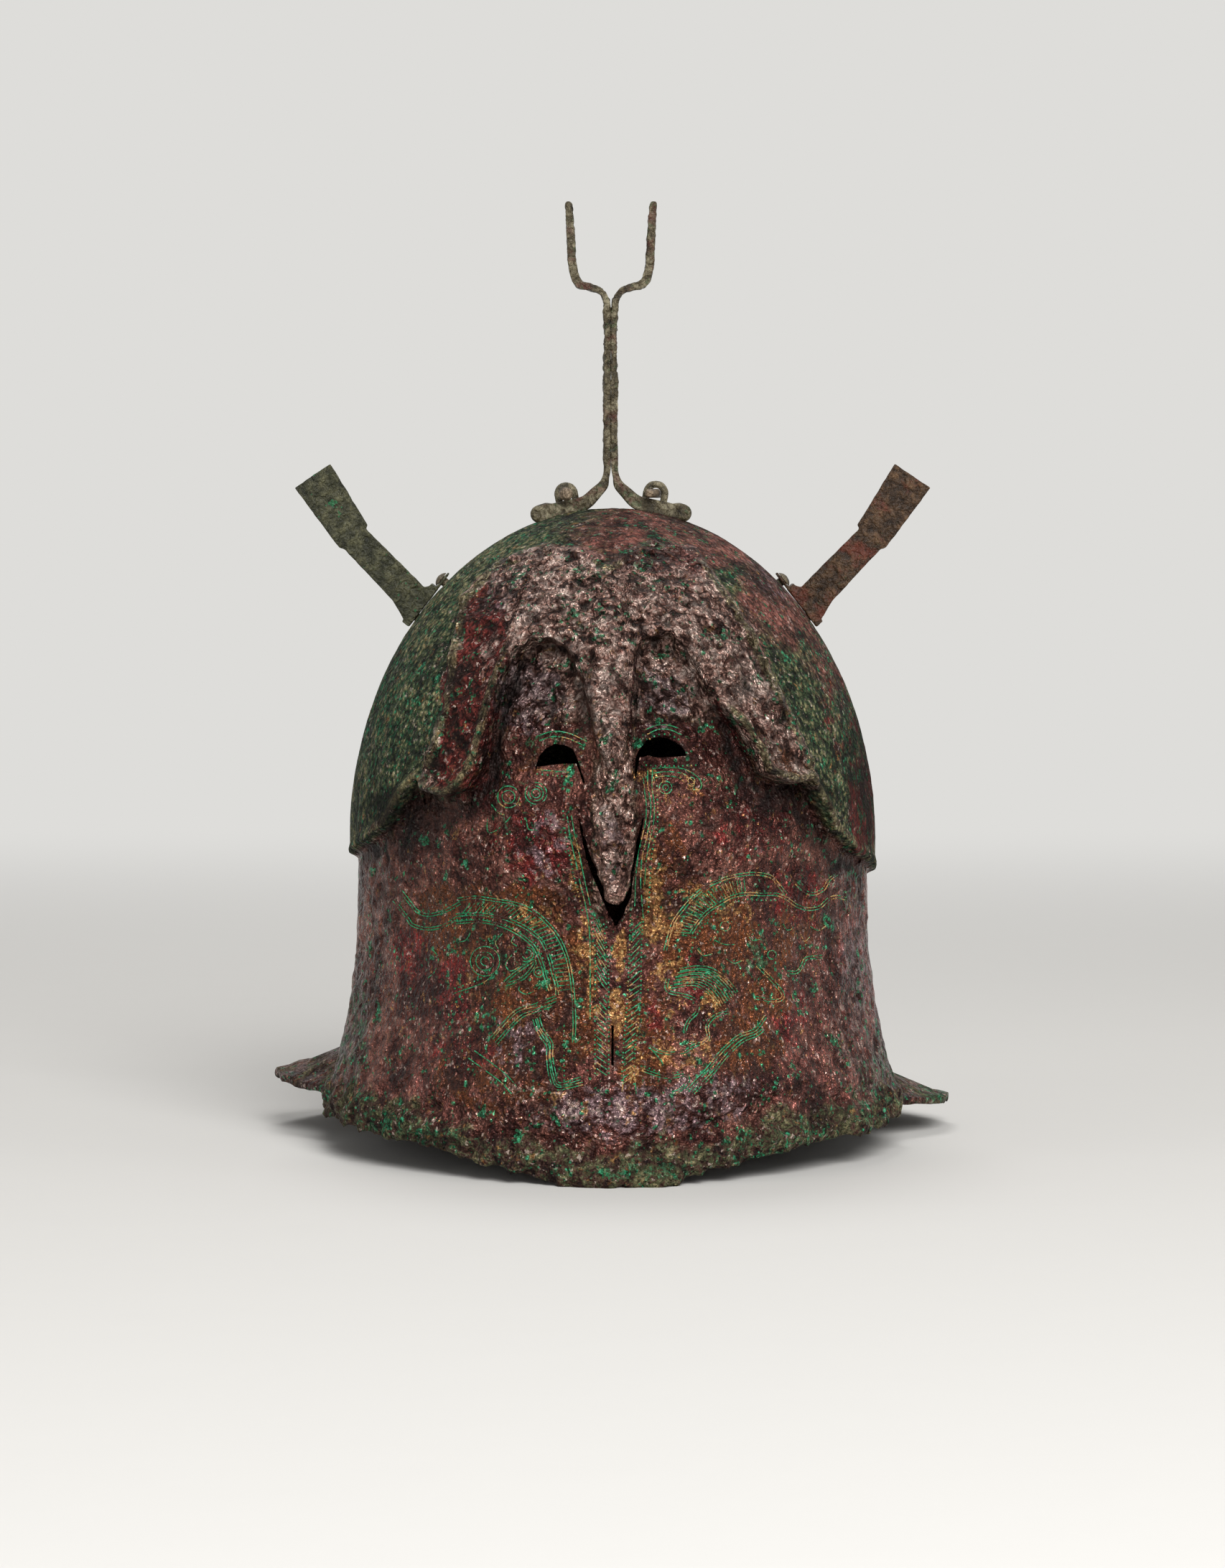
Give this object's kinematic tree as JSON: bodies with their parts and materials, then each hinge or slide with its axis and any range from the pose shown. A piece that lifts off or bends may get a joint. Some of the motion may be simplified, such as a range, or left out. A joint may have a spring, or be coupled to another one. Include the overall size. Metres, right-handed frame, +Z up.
{
  "type": "pseudo-corinthian helmet",
  "caption": "Raised bronze helmet worn on top of the head, with a mask front, flared neck guard, forked crest holder pinned to staples, and flat plume holders at the sides.",
  "frame": {"origin": "middle of the bounding box in plan, on the level surface that the rim stands on", "axes": "+Z up; the face looks along -Y; +X is to the right for a viewer who looks at the face"},
  "size_m": [0.2342, 0.2726, 0.3213],
  "materials": {
    "shell_bronze": "excavated bronze, red-brown and malachite green patina, pitted",
    "crest_bronze": "olive-brown patina with pale green spots",
    "staple_bronze": "green-grey patina",
    "pin_bronze": "dark olive patina",
    "holder_bronze_left": "grey-olive patina with a corroded patch",
    "holder_bronze_right": "sienna-brown patina",
    "rivet_bronze": "dull green-brown patina"
  },
  "bodies": {
    "helmet": {"helmet_shell": "shell_bronze", "crest_strip_left": "crest_bronze", "crest_strip_right": "crest_bronze", "crest_staple_left": "staple_bronze", "crest_staple_right": "staple_bronze", "side_holder_left": "holder_bronze_left", "side_holder_right": "holder_bronze_right", "side_rivets_left": "rivet_bronze", "side_rivets_right": "rivet_bronze"},
    "left_pin": {"crest_pin_left": "pin_bronze"},
    "right_pin": {"crest_pin_right": "pin_bronze"}
  },
  "joints": [
    {"name": "left_pin_slide", "type": "slide", "parent": "helmet", "child": "left_pin", "axis": [0, -1, 0], "range_m": [0, 0.014]},
    {"name": "right_pin_slide", "type": "slide", "parent": "helmet", "child": "right_pin", "axis": [-0.225, -0.9744, 0], "range_m": [0, 0.014]}
  ]
}
